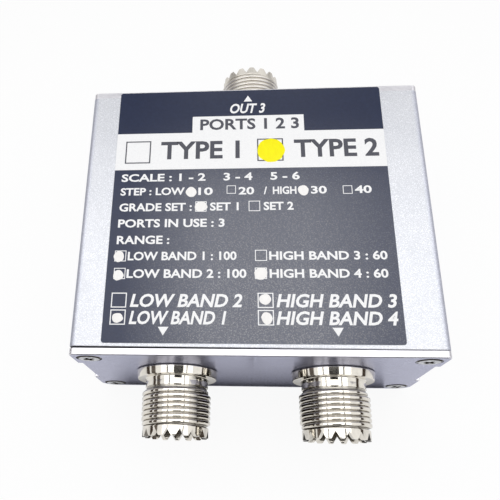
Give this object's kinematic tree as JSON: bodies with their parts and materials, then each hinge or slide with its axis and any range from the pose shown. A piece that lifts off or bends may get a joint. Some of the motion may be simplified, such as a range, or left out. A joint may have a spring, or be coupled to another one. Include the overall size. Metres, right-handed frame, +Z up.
{
  "type": "antenna duplexer",
  "caption": "Split aluminium case with threaded coaxial sockets on its end plates; a low-pass and a high-pass filter inside join two radio bands on one antenna line.",
  "frame": {"origin": "middle of the resting face: the bottom centre of the bounding box", "axes": "+X to the right seen from the front, +Y from the front plate to the rear plate, +Z up"},
  "size_m": [0.08, 0.0976, 0.0382],
  "materials": {
    "case_anodised": "blasted, clear anodised",
    "plate_anodised": "blasted, clear anodised",
    "label_film": "satin printed film",
    "screw_steel": "bright zinc",
    "socket_nickel": "bright nickel plate on turned brass",
    "insulator_white": "turned fluoropolymer",
    "contact_gold": "thin gold plate",
    "tinned_sheet": "tinned",
    "tinned_wire": "tinned copper",
    "board_laminate": "glass laminate with solder mask",
    "coil_wire": "enamelled copper",
    "capacitor_body": "dipped ceramic disc"
  },
  "bodies": {
    "case": {"lower_shell": "case_anodised", "upper_shell": "case_anodised", "front_plate": "plate_anodised", "rear_plate": "plate_anodised", "rating_label": "label_film", "filter_board": "board_laminate", "screen_wall": "tinned_sheet", "low_pass_coil_front": "coil_wire", "low_pass_coil_rear": "coil_wire", "high_pass_coil_front": "coil_wire", "high_pass_coil_rear": "coil_wire", "low_pass_capacitors": "capacitor_body", "high_pass_capacitors": "capacitor_body", "low_band_shell": "socket_nickel", "low_band_insulator": "insulator_white", "low_band_contact": "contact_gold", "low_band_nut": "socket_nickel", "low_band_tag": "tinned_sheet", "low_band_lead": "tinned_wire", "high_band_shell": "socket_nickel", "high_band_insulator": "insulator_white", "high_band_contact": "contact_gold", "high_band_nut": "socket_nickel", "high_band_tag": "tinned_sheet", "high_band_lead": "tinned_wire", "common_shell": "socket_nickel", "common_insulator": "insulator_white", "common_contact": "contact_gold", "common_nut": "socket_nickel", "common_tag": "tinned_sheet", "common_lead": "tinned_wire"},
    "front_upper_left_screw": {"front_upper_left_screw": "screw_steel"},
    "front_upper_right_screw": {"front_upper_right_screw": "screw_steel"},
    "front_lower_left_screw": {"front_lower_left_screw": "screw_steel"},
    "front_lower_right_screw": {"front_lower_right_screw": "screw_steel"},
    "rear_upper_left_screw": {"rear_upper_left_screw": "screw_steel"},
    "rear_upper_right_screw": {"rear_upper_right_screw": "screw_steel"},
    "rear_lower_left_screw": {"rear_lower_left_screw": "screw_steel"},
    "rear_lower_right_screw": {"rear_lower_right_screw": "screw_steel"}
  },
  "joints": [
    {"name": "front_upper_left_screw_out", "type": "slide", "parent": "case", "child": "front_upper_left_screw", "axis": [0, -1, 0], "range_m": [0, 0.0062]},
    {"name": "front_upper_right_screw_out", "type": "slide", "parent": "case", "child": "front_upper_right_screw", "axis": [0, -1, 0], "range_m": [0, 0.0062]},
    {"name": "front_lower_left_screw_out", "type": "slide", "parent": "case", "child": "front_lower_left_screw", "axis": [0, -1, 0], "range_m": [0, 0.0062]},
    {"name": "front_lower_right_screw_out", "type": "slide", "parent": "case", "child": "front_lower_right_screw", "axis": [0, -1, 0], "range_m": [0, 0.0062]},
    {"name": "rear_upper_left_screw_out", "type": "slide", "parent": "case", "child": "rear_upper_left_screw", "axis": [0, 1, 0], "range_m": [0, 0.0062]},
    {"name": "rear_upper_right_screw_out", "type": "slide", "parent": "case", "child": "rear_upper_right_screw", "axis": [0, 1, 0], "range_m": [0, 0.0062]},
    {"name": "rear_lower_left_screw_out", "type": "slide", "parent": "case", "child": "rear_lower_left_screw", "axis": [0, 1, 0], "range_m": [0, 0.0062]},
    {"name": "rear_lower_right_screw_out", "type": "slide", "parent": "case", "child": "rear_lower_right_screw", "axis": [0, 1, 0], "range_m": [0, 0.0062]}
  ]
}
